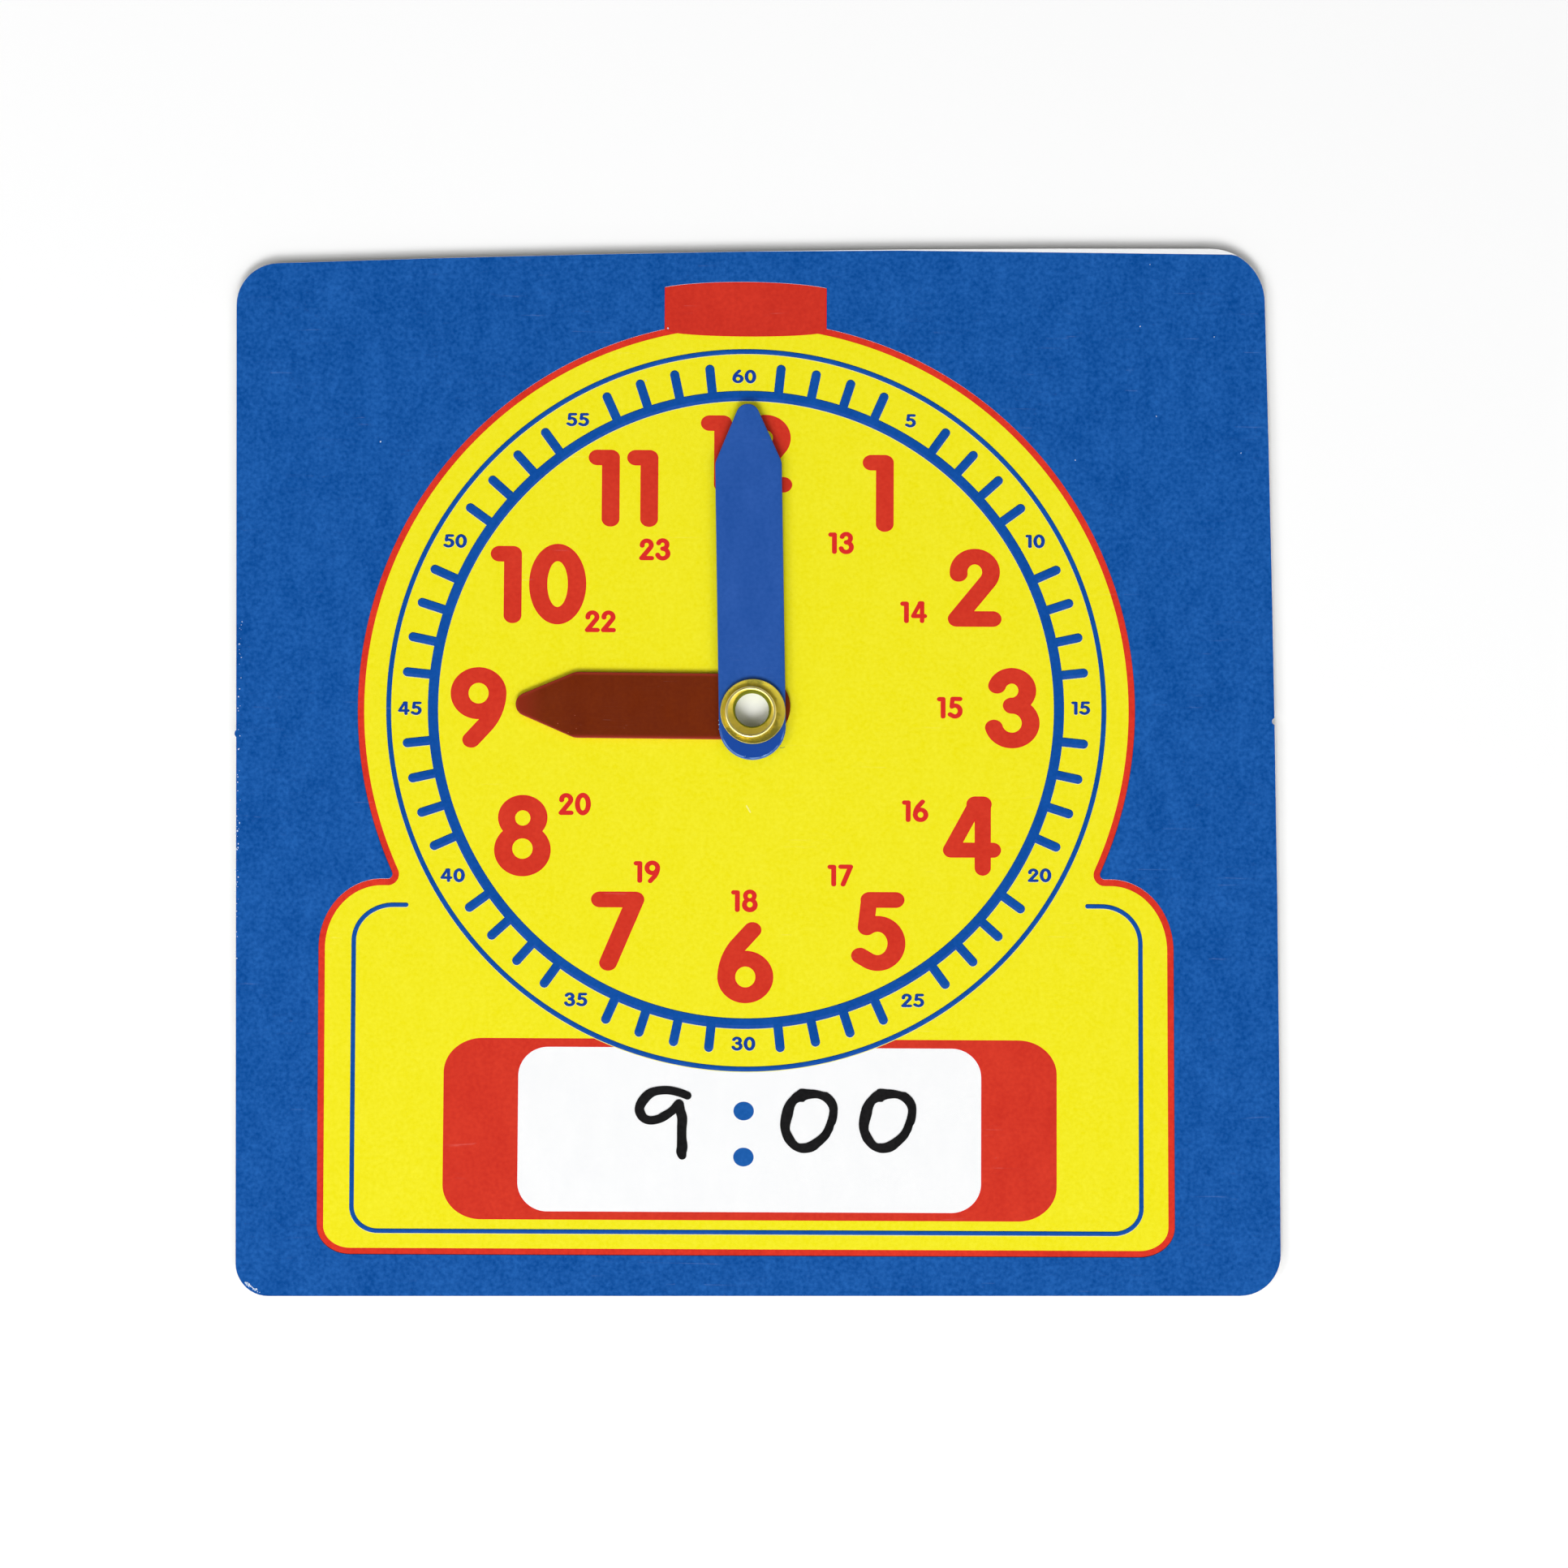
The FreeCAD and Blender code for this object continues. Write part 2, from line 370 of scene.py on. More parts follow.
# ---- clock case ------------------------------------------------------------
# The printed clock body: a round case on a square-shouldered base, yellow with a red
# border. Blue was printed last and sits a hair high, so it laps the lower red edge.

dial_x, dial_y = -0.66, 0.25
case_x, case_y = dial_x + 0.085, dial_y - 0.11
case_across, case_up = 42.85, 43.28
case_at_neck = 42.93
border_width = 0.72
base_low, base_high_left, base_high_right = -59.83, -18.80, -18.48
neck_radius = 0.50
plate_slip = 0.075
red_trap = 0.03


def neck(side, high, grow):
    """The small hollow curve where the round case meets the base's shoulder."""
    disc, curve = case_at_neck + grow, neck_radius - grow
    line = high + grow
    y = line + curve
    x = math.sqrt((disc + curve) ** 2 - (y - case_y) ** 2)
    touch = math.degrees(math.atan2(case_y - y, -x))
    bend = arc(x, y, curve, curve, touch if touch > 0 else touch + 360, 270)
    inner = [(x - 1.5 * curve - 0.4, line - 0.6), (bend[0][0] - 0.9, bend[0][1] + 0.3)]
    return [(case_x + side * px, py) for px, py in bend + inner]


def four_corners(right_top, left_top, left_foot, right_foot, grow=0.0):
    """A box from its corners, each with its limits across and up, and its rounding across and up."""
    line = []
    corners = (right_top, left_top, left_foot, right_foot)
    for start, (x, y, across, up) in zip((0, 90, 180, 270), corners):
        inward_x = -across if start in (0, 270) else across
        inward_y = -up if start in (0, 90) else up
        line += arc(x + inward_x, y + inward_y, across + grow, up + grow, start, start + 90)
    return line


def case_shape(grow):
    """The case's outline, made larger all round, with its hole."""
    base = four_corners(
        (46.49, base_high_right, 6.9, 7.9), (-47.41, base_high_left, 6.9, 7.6),
        (-47.22, base_low, 3.7, 3.15), (46.57, base_low, 3.9, 3.25), grow,
    )
    return [
        [
            oval(case_x, case_y, case_across + grow, case_up + grow),
            base,
            neck(-1, base_high_left, grow),
            neck(1, base_high_right, grow),
        ],
        [eyelet_hole],
    ]


# The alarm button printed on top of the case is part of the same red.
button_middle, button_half = -0.94, 9.00
button_high, button_low = 46.35, 42.30
crown_across, crown_up, foot_up = 10.6, 1.39, 0.70


def button_shape(grow):
    """The button's outline: a flat crown over upright sides, and a foot that sags."""
    half, across = button_half + grow, crown_across + grow
    lean = math.degrees(math.acos(half / across))
    return [
        arc(button_middle, button_high, across, crown_up + grow, lean, 180 - lean)
        + arc(button_middle, button_low, half, foot_up + grow, 180, 360)
    ]


border_red = printed("border_red", screen(205, 45, 32), screen(236, 62, 44))
button_red = printed("button_red", screen(200, 46, 34), screen(220, 60, 43))
red_rim = printed("red_rim", screen(212, 34, 38), screen(228, 44, 40), 0.6, 0.4)
lap_black = printed("blue_over_red", screen(38, 22, 34), screen(60, 34, 40), 0.6, 0.4)
case_yellow = printed("case_yellow", screen(242, 231, 14), screen(249, 240, 50), 1.6, 0.5)

silhouette = case_shape(0.0)
silhouette[0] += button_shape(0.0)
cut_out = case_shape(-red_trap)
cut_out[0] += button_shape(-red_trap)
cut_out = moved(cut_out, 0.0, plate_slip * 0.6)
cut_out[1] = []
ink(
    "print_case_border",
    divide(silhouette, cut_out),
    {frozenset({0, 1}): border_red, frozenset({0}): lap_black, frozenset({1}): bare_board},
    2,
)
ink("print_case_yellow", divide(case_shape(-border_width)), {frozenset({0}): case_yellow}, 3)
button_print = divide([button_shape(-0.02), []], [button_shape(-0.12), []])
ink("print_button", button_print, {frozenset({0, 1}): button_red, frozenset({0}): red_rim}, 4)


# ---- frame line ------------------------------------------------------------
# One thin blue rule round the inside of the base, with round ends. The yellow leaves
# room for it, but sits low: white shows under the rule and green along its top.

def stroke(points, across, up=None, swell=0.0):
    """The outline of a line drawn with an oval nib, round at both ends."""
    across, up = across + swell, (across if up is None else up) + swell
    squeeze = up / across
    path = [Vector((x, y / squeeze)) for x, y in points]
    left, right = [], []
    for k, p in enumerate(path):
        way = (path[min(k + 1, len(path) - 1)] - path[max(k - 1, 0)]).normalized()
        side = Vector((-way.y, way.x)) * across
        left.append(p + side)
        right.append(p - side)
    caps = []
    for tip, behind in ((path[-1], path[-2]), (path[0], path[1])):
        way = (tip - behind).normalized()
        facing = math.degrees(math.atan2(way.y, way.x))
        bend = arc(tip.x, tip.y, across, across, facing + 90, facing - 90)
        caps.append([Vector(p) for p in bend[1:-1]])
    line = left + caps[0] + right[::-1] + caps[1]
    return [(p.x, p.y * squeeze) for p in line]


line_blue = printed("line_blue", screen(8, 70, 150), screen(24, 88, 176), 1.0, 0.8)
line_violet = printed("line_violet_edge", screen(22, 74, 160), screen(40, 94, 184), 1.0, 0.8)
lap_green = printed("blue_over_yellow", screen(8, 52, 84), screen(18, 74, 104), 0.6, 0.5)
pale_gap = printed("gap_in_yellow", screen(248, 241, 100), screen(254, 250, 160), 0.6, 0.5)
violet_edge = 0.40


def three_plates(shape, violet=violet_edge):
    """Blue lines as they print: their room in the yellow low, and one blue plate high."""
    return divide(shape, moved(shape, 0.0, -plate_slip), moved(shape, 0.0, violet))


on_yellow = {
    frozenset({0, 1, 2}): line_blue,
    frozenset({0, 1}): line_violet,
    frozenset({0}): lap_green,
    frozenset({0, 2}): lap_green,
    frozenset({1}): pale_gap,
    frozenset({1, 2}): pale_gap,
}
rule_half = 0.25
rule_low, rule_high_left, rule_high_right = -57.25, -21.65, -21.43
rule_box = four_corners(
    (42.82, rule_high_right, 4.30, 4.10), (-43.54, rule_high_left, 4.35, 3.95),
    (-43.44, rule_low, 2.90, 2.65), (42.89, rule_low, 3.00, 2.75),
)
rule_starts, rule_ends = (-37.85, rule_high_left), (37.00, rule_high_right)
quarter = next(k for k, (x, _) in enumerate(rule_box) if x < 0)
rule_line = [rule_starts, *rule_box[quarter:], *rule_box[:quarter], rule_ends]
rule_shape = [[stroke(rule_line, rule_half)], []]
ink("print_frame_line", three_plates(rule_shape, 0.22), on_yellow, 4)


# ---- time window -----------------------------------------------------------
# A red panel with a bare white window in it, where the time is written by hand with
# a dry-wipe pen. Two blue dots between the hours and the minutes are printed.

# Left, right, low and high sides, and the corners' rounding across and up.
panel = (-33.54, 33.61, -55.96, -36.20, 4.22, 3.78)
window = (-25.38, 25.33, -55.07, -37.13, 3.28, 3.18)
rim_width = 0.09
window_lap = 0.02
panel_red = printed("panel_red", screen(205, 48, 35), screen(223, 64, 44))


def grown_box(sides, grow):
    left, right, low, high, across, up = sides
    return rounded_box(left - grow, right + grow, low - grow, high + grow, across + grow, up + grow)


def panel_shape(grow):
    return [[grown_box(panel, grow)], [grown_box(window, -grow)]]


ink(
    "print_window_panel",
    divide(panel_shape(0.0), panel_shape(-rim_width)),
    {frozenset({0, 1}): panel_red, frozenset({0}): red_rim},
    4,
)
field = divide([[grown_box(window, window_lap)], []])
ink("print_window_field", field, {frozenset({0}): bare_board}, 3.5)
dot_x, dot_high, dot_low = -0.69, -44.05, -49.07
dot_across, dot_up = 1.12, 1.02
colon_blue = printed("colon_blue", screen(20, 84, 160), screen(38, 102, 182))
colon = [[oval(dot_x, y, dot_across, dot_up) for y in (dot_high, dot_low)], []]
ink("print_colon", divide(colon), {frozenset({0}): colon_blue}, 5)


# ---- dial face -------------------------------------------------------------
# The yellow dial lies over the panel and ends in a thin blue ring. A heavier ring
# carries one round-ended stroke a minute, and every fifth minute has its number.

# Each ring's inner and outer edge, across and up: the sheet grew a little along the press.
thin_ring = ((39.15, 39.42), (39.69, 39.98))
minute_ring = ((33.94, 34.15), (35.07, 35.32))
thin_x, thin_y = dial_x + 0.065, dial_y - 0.015
ring_x, ring_y = dial_x + 0.02, dial_y - 0.01
tick_x, tick_y = dial_x - 0.125, dial_y
print_turn = 0.22
tick_start, tick_end = 34.62, 38.11
tick_half = 0.51
dial_radius = 39.56
ink(
    "print_dial_face",
    divide([[oval(dial_x, dial_y, dial_radius, dial_radius)], [eyelet_hole]]),
    {frozenset({0}): case_yellow},
    5,
)
outer_ring = [[oval(thin_x, thin_y, *thin_ring[1])], [oval(thin_x, thin_y, *thin_ring[0])]]
ink("print_thin_ring", three_plates(outer_ring, 0.25), on_yellow, 6)

ticks = []
for minute in range(60):
    if minute % 5:
        a = math.radians(90 + print_turn - 6 * minute)
        # The pressed sheet is a hair taller than wide, and the strokes end on its slight oval.
        reach = tick_end - tick_half - 0.065 * math.cos(2 * a) + 0.18 * math.sin(a) + 0.09 * math.cos(a)
        ends = [
            (tick_x + (r - 0.07) * math.cos(a), tick_y + (r + 0.07) * math.sin(a))
            for r in (tick_start, reach)
        ]
        ticks.append(stroke(ends, tick_half))
track = [
    [oval(ring_x, ring_y, *minute_ring[1]), *ticks],
    [oval(ring_x, ring_y, *minute_ring[0])],
]
ink("print_minute_track", three_plates(track), on_yellow, 6)


# ---- numerals --------------------------------------------------------------
# Rounded numerals, all drawn with one oval nib that is wider across than up. Hours are
# big and red, the afternoon hours small and red, and the minutes small, wide and blue.

nib_across, nib_up = 11.0, 9.7
figure_gap, gap_after_one = 5.5, 9.2
figure_middle = 48.5


def six(swell):
    """The six's outlines: a round bowl and one stem that leans into it."""
    ring = (34.6, 32.4, 23.4, 22.5)
    return [
        stroke(arc(*ring, 0, 180), nib_across, nib_up, swell),
        stroke(arc(*ring, 180, 360), nib_across, nib_up, swell),
        stroke(arc(74.2, 31.0, 63.0, 63.0, 180, 141) + [(43.1, 90.2)], nib_across, nib_up, swell),
    ]


def numeral(figure, swell):
    """One figure's width, outlines and holes, 96 high, standing on the line at 0."""
    def line(*points, across=nib_across, up=nib_up):
        return stroke(list(points), across, up, swell)
    if figure == "0":
        return 70.6, [
            oval(35.3, 48.9, 35.3 + swell, 50.1 + swell),
        ], [oval(35.2, 48.9, 12.7 - swell, 28.5 - swell)]
    if figure == "1":
        return 38.6, [line((11.0, 86.3), (27.6, 86.3)), line((27.6, 86.3), (27.6, 9.7))], []
    if figure == "2":
        return 65.9, [
            line(*arc(32.7, 68.1, 20.1, 19.3, 187, -38), (10.4, 9.7)),
            line((10.4, 9.7), (54.9, 9.7)),
        ], []
    if figure == "3":
        return 66.9, [
            line(*arc(32.1, 70.8, 19.2, 18.4, 161, -90)),
            line(*arc(32.4, 30.4, 23.1, 21.5, 90, -165)),
        ], []
    if figure == "4":
        return 71.8, [
            line((40.0, 88.4), (49.2, 88.4)),
            line((49.2, 88.4), (49.2, 9.9), across=10.0),
            line((40.0, 87.7), (9.3, 31.6), across=9.2, up=8.6),
            line((10.1, 31.6), (61.8, 31.6), across=10.0, up=9.3),
        ], []
    if figure == "5":
        return 66.6, [
            line((22.2, 87.5), (54.3, 87.5)),
            line((21.7, 87.4), (17.9, 55.1), across=10.0),
            line(*arc(32.2, 33.9, 23.3, 24.1, 125, -120), (10.8, 18.7)),
        ], []
    if figure == "6":
        return 69.4, six(swell), []
    if figure == "7":
        return 65.1, [line((10.8, 87.6), (54.3, 87.6)), line((54.3, 87.6), (21.4, 9.7))], []
    if figure == "8":
        return 69.5, [
            oval(34.9, 71.5, 30.4 + swell, 27.8 + swell),
            oval(34.8, 31.5, 34.8 + swell, 32.5 + swell),
        ], [oval(34.9, 70.9, 9.4 - swell, 9.5 - swell), oval(34.8, 33.1, 12.6 - swell, 12.6 - swell)]
    return 69.4, [[(69.4 - x, 98.6 - y) for x, y in part] for part in six(swell)], []


def number(text, x, y, wide, high, swell):
    """The shape of a whole number about its own middle, wide and high giving mm per unit."""
    outlines, holes, reach = [], [], 0.0
    for figure in text:
        width, parts, gaps = numeral(figure, swell)
        outlines += [[(px + reach, py) for px, py in part] for part in parts]
        holes += [[(px + reach, py) for px, py in part] for part in gaps]
        gap = gap_after_one if figure == "1" else figure_gap
        reach += width + gap
    middle = (reach - gap) / 2
    return [
        [[(x + (px - middle) * wide, y + (py - figure_middle) * high) for px, py in part] for part in parts]
        for parts in (outlines, holes)
    ]


def all_of(shapes):
    """Several shapes as one."""
    return [sum((s[0] for s in shapes), []), sum((s[1] for s in shapes), [])]


# Places are measured from the dial's middle, in millimetres right and up.
hour_size = 0.0892
hour_places = {
    "1": (14.49, 23.98), "2": (25.23, 13.48), "3": (29.43, 0.10), "4": (24.94, -14.06),
    "5": (14.67, -24.58), "6": (0.08, -28.20), "7": (-13.99, -24.69), "8": (-24.50, -14.29),
    "9": (-29.49, -0.12), "10": (-23.01, 13.57), "11": (-13.71, 24.36), "12": (-0.10, 28.28),
}
hour_red = printed("hour_red", screen(205, 48, 34), screen(222, 64, 44))
rim_units = 1.1


def printed_numbers(places, wide, high, swell=0.0):
    return all_of([
        number(text, dial_x + x, dial_y + y, wide, high, swell) for text, (x, y) in places.items()
    ])


hours = [printed_numbers(hour_places, hour_size, hour_size, swell) for swell in (0.0, -rim_units)]
ink("print_hour_numbers", divide(*hours), {frozenset({0, 1}): hour_red, frozenset({0}): red_rim}, 6)

late_size = 0.0249
late_places = {
    "13": (10.41, 18.36), "14": (18.46, 10.72), "15": (22.47, 0.16), "16": (18.68, -11.30),
    "17": (10.45, -18.44), "18": (-0.07, -21.30), "19": (-10.81, -18.15), "20": (-18.78, -10.73),
    "21": (-22.40, 0.00), "22": (-16.12, 9.50), "23": (-10.17, 17.52), "24": (-0.10, 21.20),
}
late_red = printed("late_hour_red", screen(214, 38, 38), screen(230, 52, 46), 0.8, 0.5)
late_hours = divide(printed_numbers(late_places, late_size, late_size))
ink("print_late_hour_numbers", late_hours, {frozenset({0}): late_red}, 6)

minute_wide, minute_high = 0.01825, 0.01535
minute_places = {
    "5": (18.05, 32.06), "10": (31.89, 18.69), "15": (36.93, 0.19), "20": (32.39, -18.30),
    "25": (18.46, -32.12), "30": (-0.09, -36.95), "35": (-18.50, -32.20), "40": (-32.12, -18.64),
    "45": (-37.03, -0.26), "50": (-32.23, 18.32), "55": (-18.81, 31.94), "60": (-0.40, 36.88),
}
minutes = printed_numbers(minute_places, minute_wide, minute_high)
figure_blue = printed("minute_figure_blue", screen(10, 52, 146), screen(30, 76, 176), 0.8, 0.6)
on_figures = {**on_yellow, frozenset({0, 1}): figure_blue, frozenset({0, 1, 2}): figure_blue}
ink("print_minute_numbers", three_plates(minutes), on_figures, 6)


# ---- front film ------------------------------------------------------------
# The same clear film over the print, glossy and wipe-clean. Under it the ink has a few
# pinholes, and it is rubbed through along the left edge and at the lower left corner.

dress("front_film", clear_film("front_film_clear", 0.12, 0.0006, 0.003))


def chip(x, y, size, chance):
    """A small ragged spot where the board shows through the ink."""
    count = 7
    return [
        (
            x + size * chance.uniform(0.55, 1.25) * math.cos(2 * math.pi * k / count),
            y + size * chance.uniform(0.55, 1.45) * math.sin(2 * math.pi * k / count),
        )
        for k in range(count)
    ]


chance = random.Random(12)
rubbed_white = printed("rubbed_white", screen(150, 186, 226), screen(236, 243, 252), 1.6, 1.2)
spots = [
    chip(x, y, size, chance)
    for x, y, size in (
        (-41.25, 29.59, 0.10), (42.91, 43.08, 0.07), (51.13, 41.96, 0.07), (44.70, 32.99, 0.06),
        (35.68, 28.03, 0.06), (54.07, 28.97, 0.06), (44.01, 50.03, 0.06), (-11.95, 36.60, 0.06),
        (-9.56, 42.47, 0.09),
    )
]
edge_x, edge_low, edge_high, edge_spots = -56.45, -28.0, 9.5, 64
for _ in range(edge_spots):
    y = chance.uniform(edge_low, edge_high)
    spots.append(chip(edge_x + chance.gauss(0.0, 0.10), y, chance.uniform(0.02, 0.085), chance))
corner_x, corner_y, corner_spots = -54.9, -62.95, 22
for _ in range(corner_spots):
    share = chance.uniform(0.0, 1.0)
    x = corner_x + 1.6 * share + chance.gauss(0.0, 0.07)
    y = corner_y - 1.05 * share + chance.gauss(0.0, 0.06)
    spots.append(chip(x, y, chance.uniform(0.04, 0.13), chance))
streak = [[stroke([(-0.54, -10.59), (-0.14, -11.26)], 0.08)], []]
hair = [[stroke([(3.11, -4.16), (3.40, -4.13), (3.62, -4.04)], 0.02)], []]
ink(
    "print_pinholes",
    divide([spots, []], streak, hair),
    {frozenset({0}): rubbed_white, frozenset({1}): pale_gap, frozenset({2}): lap_green},
    8,
)


# ---- written time ----------------------------------------------------------
# Dry-wipe pen ink on top of the film: nine o'clock written by hand with a bullet tip.
# It is a dry black skin that wipes off, a little thin where the pen moved fast.

film_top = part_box("front_film")[1].z / mm


def through(points, closed=False, parts=7):
    """A smooth line through given points."""
    count = len(points)
    spans = count if closed else count - 1
    line = []
    for k in range(spans):
        around = [
            Vector(points[(k + j) % count] if closed else points[min(max(k + j, 0), count - 1)])
            for j in (-1, 0, 1, 2)
        ]
        for step in range(parts):
            t = step / parts
            a, b, c, d = around
            p = 0.5 * (
                2 * b + (c - a) * t + (2 * a - 5 * b + 4 * c - d) * t * t
                + (3 * b - 3 * c + d - a) * t ** 3
            )
            line.append((p.x, p.y))
    line.append(points[0] if closed else points[-1])
    return line


def pen_line(marks):
    """A hand-drawn line, from places with the pen's half width at each."""
    line = through([(x, y) for x, y, _ in marks])
    widths = through([(half, 0.0) for _, _, half in marks])
    return [
        stroke([a, b], half)
        for a, b, (half, _) in zip(line, line[1:], widths)
        if math.dist(a, b) > 1e-4
    ]


pen_black = printed("pen_black", screen(18, 18, 19), screen(38, 37, 38), 1.0, 0.8, 0.38)
nine = [
    (-6.85, -42.40, 0.44), (-7.65, -42.10, 0.45), (-8.54, -41.88, 0.45), (-9.34, -41.82, 0.46),
    (-10.32, -41.93, 0.47), (-11.03, -42.24, 0.53), (-11.65, -42.87, 0.55), (-12.04, -43.58, 0.52),
    (-12.04, -44.20, 0.53), (-11.63, -44.86, 0.47), (-10.92, -45.12, 0.46), (-10.03, -44.98, 0.47),
    (-9.41, -44.67, 0.50), (-8.79, -44.27, 0.46), (-8.26, -43.83, 0.48), (-7.78, -43.29, 0.48),
    (-7.64, -44.00, 0.53), (-7.41, -44.88, 0.55), (-7.45, -45.95, 0.52), (-7.45, -47.01, 0.52),
    (-7.39, -47.98, 0.59), (-7.48, -48.51, 0.55), (-7.39, -48.91, 0.46),
]
# The nought was gone over twice, so its outer and its inner edge wander by themselves.
nought_outside = [
    (5.40, -41.64), (5.76, -41.60), (6.29, -41.65), (7.18, -41.72), (8.07, -41.93), (8.47, -41.99),
    (8.96, -42.37), (9.32, -42.81), (9.55, -43.34), (9.61, -43.92), (9.56, -44.63), (9.42, -45.29),
    (9.23, -45.60), (9.11, -46.05), (8.98, -46.30), (8.63, -46.94), (8.10, -47.51), (7.65, -47.91),
    (7.34, -48.20), (6.77, -48.49), (6.01, -48.61), (5.44, -48.54), (4.90, -48.32), (4.55, -48.10),
    (4.10, -47.66), (3.74, -47.18), (3.47, -46.47), (3.34, -45.90), (3.31, -45.37), (3.39, -44.66),
    (3.55, -43.95), (3.72, -43.46), (4.08, -42.88), (4.52, -42.39), (4.83, -42.06), (5.14, -41.86),
]
nought_inside = [
    (5.86, -43.03), (6.08, -42.85), (6.48, -42.71), (7.19, -42.63), (7.63, -42.71), (8.08, -42.95),
    (8.43, -43.31), (8.63, -43.66), (8.69, -44.06), (8.57, -44.72), (8.35, -45.39), (8.09, -46.01),
    (7.74, -46.50), (7.20, -46.94), (6.67, -47.28), (6.14, -47.52), (5.70, -47.57), (5.34, -47.54),
    (5.03, -47.26), (4.76, -46.82), (4.49, -46.33), (4.38, -46.07), (4.40, -45.63), (4.53, -45.10),
    (4.71, -44.47), (4.84, -43.77), (5.06, -43.28), (5.41, -43.05),
]
next_figure, next_lift = 8.62, 0.04
pen_nought = [[through(nought_outside, True, 3)], [through(nought_inside, True, 3)]]
written = all_of([[pen_line(nine), []], pen_nought, moved(pen_nought, next_figure, next_lift)])
ink("written_time", divide(written), {frozenset({0}): pen_black}, 1.2, floor=film_top)


# ---- hour hand -------------------------------------------------------------
# A die-cut strip of dark red see-through plastic, pointed at one end and punched at the
# other. It lies on the film, and a redder band along its cut edge is painted glow, as if light came in
# there.

def plastic(name, dark, light, edge_glow_and_bruise, glow_and_bruise_mask, end_tone, end_mask, roughness):
    """See-through sheet: mottled, with one tone toward one end and one along its cut edge, which on the hour
    hand is a painted glow.
    """
    finish, tree, shader, place = new_finish(name)
    wear = put(
        tree, "ShaderNodeGroup",
        {"Place": place, "Scratch Width": 0.0015, "Ripple Size": 500.0}, node_tree=handling,
    )
    body = mottled(tree, place, dark, light, 1.0, 1.0)
    # A second tone grows toward one end: lighter toward the hour hand's tip, darker toward the minute hand's
    # tail.
    toned_toward_end = blend(tree, end_mask(tree, place), body, end_tone)
    # The edge tone is a painted glow on the hour hand and a pale bruise on the minute hand.
    toned = blend(tree, glow_and_bruise_mask(tree, place), toned_toward_end, edge_glow_and_bruise)
    scratched = work_out(tree, "MULTIPLY", wear.outputs["Scratches"], 0.02)
    tree.links.new(blend(tree, scratched, toned, (0.8, 0.8, 0.8, 1)), shader.inputs["Base Color"])
    uneven_gloss = work_out(tree, "MULTIPLY_ADD", wear.outputs["Ripple"], 0.15, roughness)
    tree.links.new(uneven_gloss, shader.inputs["Roughness"])
    dent = put(
        tree, "ShaderNodeBump", {"Strength": 0.3, "Distance": 0.02 * mm, "Height": wear.outputs["Ripple"]}
    )
    tree.links.new(dent.outputs[0], shader.inputs["Normal"])
    shader.inputs["Specular IOR Level"].default_value = 0.15
    return finish


# Each side of the strip: the way it faces, and how far out it lies.
hour_sides = (
    (0.005, 1.0, 3.985), (-0.005, -1.0, 3.285),
    (-0.400, 0.917, 11.62), (-0.429, -0.903, 11.49), (-1.0, 0.0, 26.03),
)


def hour_edge_glow(tree, place):
    """One along the cut edge, fading inwards: where the painted glow lies."""
    near = 0.0
    for across, up, reach in hour_sides:
        out = along(tree, place, (across, up, 0.0))
        band = shape_of(tree, out, (reach - 0.45) * mm, (reach - 0.05) * mm)
        near = work_out(tree, "MAXIMUM", near, band)
    return near


def hour_tip(tree, place):
    return shape_of(tree, along(tree, place, (-1.0, 0.0, 0.0)), 22.5 * mm, 26.2 * mm)


def nicks(name, places, size, face, body, finish):
    """Tiny chips and specks in the top of a hand."""
    chips = [chip(x, y, size * chance.uniform(0.8, 1.3), chance) for x, y in places]
    pattern = divide([chips, []])
    return ink(name, pattern, {frozenset({0}): finish}, 1.6, floor=face - 0.002, body=body)


# The third colour is the painted glow along the hour hand's cut edge.
hour_plastic = plastic(
    "hour_plastic", screen(102, 30, 0), screen(119, 42, 2), screen(148, 46, 30), hour_edge_glow,
    screen(136, 40, 18), hour_tip, 0.38,
)
dress("hour_hand", hour_plastic)
hour_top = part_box("hour_hand")[1].z / mm
speck_red = printed("hour_speck", screen(190, 96, 78), screen(214, 132, 110), 0.8, 0.6)
specks = ((-19.50, -0.72), (-21.37, -1.63), (-19.33, -2.20), (-20.22, -2.61))
nicks("hour_hand_specks", specks, 0.045, hour_top, "hour", speck_red)


# ---- minute hand -----------------------------------------------------------
# The same kind of strip in solid blue plastic, longer, lying on the hour hand. The die
# bruised it along its tail, where a pale line runs just inside the cut edge.

tail_x, tail_y, bruise_radius = 0.04, -1.88, 3.50


def from_axis(tree, place, x, y):
    """How far a place is from the upright line through one point of the card."""
    flat = put(tree, "ShaderNodeVectorMath", {0: place, 1: (1.0, 1.0, 0.0)}, operation="MULTIPLY")
    moved_by = {0: flat.outputs[0], 1: (-x * mm, -y * mm, 0.0)}
    offset = put(tree, "ShaderNodeVectorMath", moved_by).outputs[0]
    return put(tree, "ShaderNodeVectorMath", {0: offset}, operation="LENGTH").outputs["Value"]


def minute_edge(tree, place):
    """One on the broken pale line round the tail, and a little outside it."""
    reach = from_axis(tree, place, tail_x, tail_y)
    aside = work_out(tree, "ABSOLUTE", work_out(tree, "SUBTRACT", reach, bruise_radius * mm))
    broken = put(tree, "ShaderNodeTexNoise", {"Vector": place, "Scale": 900.0, "Detail": 2.0})
    line = work_out(
        tree, "MULTIPLY", shape_of(tree, aside, 0.09 * mm, 0.02 * mm),
        shape_of(tree, broken.outputs["Fac"], 0.36, 0.60),
    )
    outer = shape_of(tree, reach, bruise_radius * mm, (bruise_radius + 0.12) * mm, 0.0, 0.28)
    tailward = shape_of(tree, along(tree, place, (0.0, -1.0, 0.0)), 1.8 * mm, 3.8 * mm)
    return work_out(tree, "MULTIPLY", work_out(tree, "MAXIMUM", line, outer), tailward)


def minute_tail(tree, place):
    return shape_of(tree, along(tree, place, (0.0, -1.0, 0.0)), 0.5 * mm, 3.6 * mm, 0.0, 0.85)


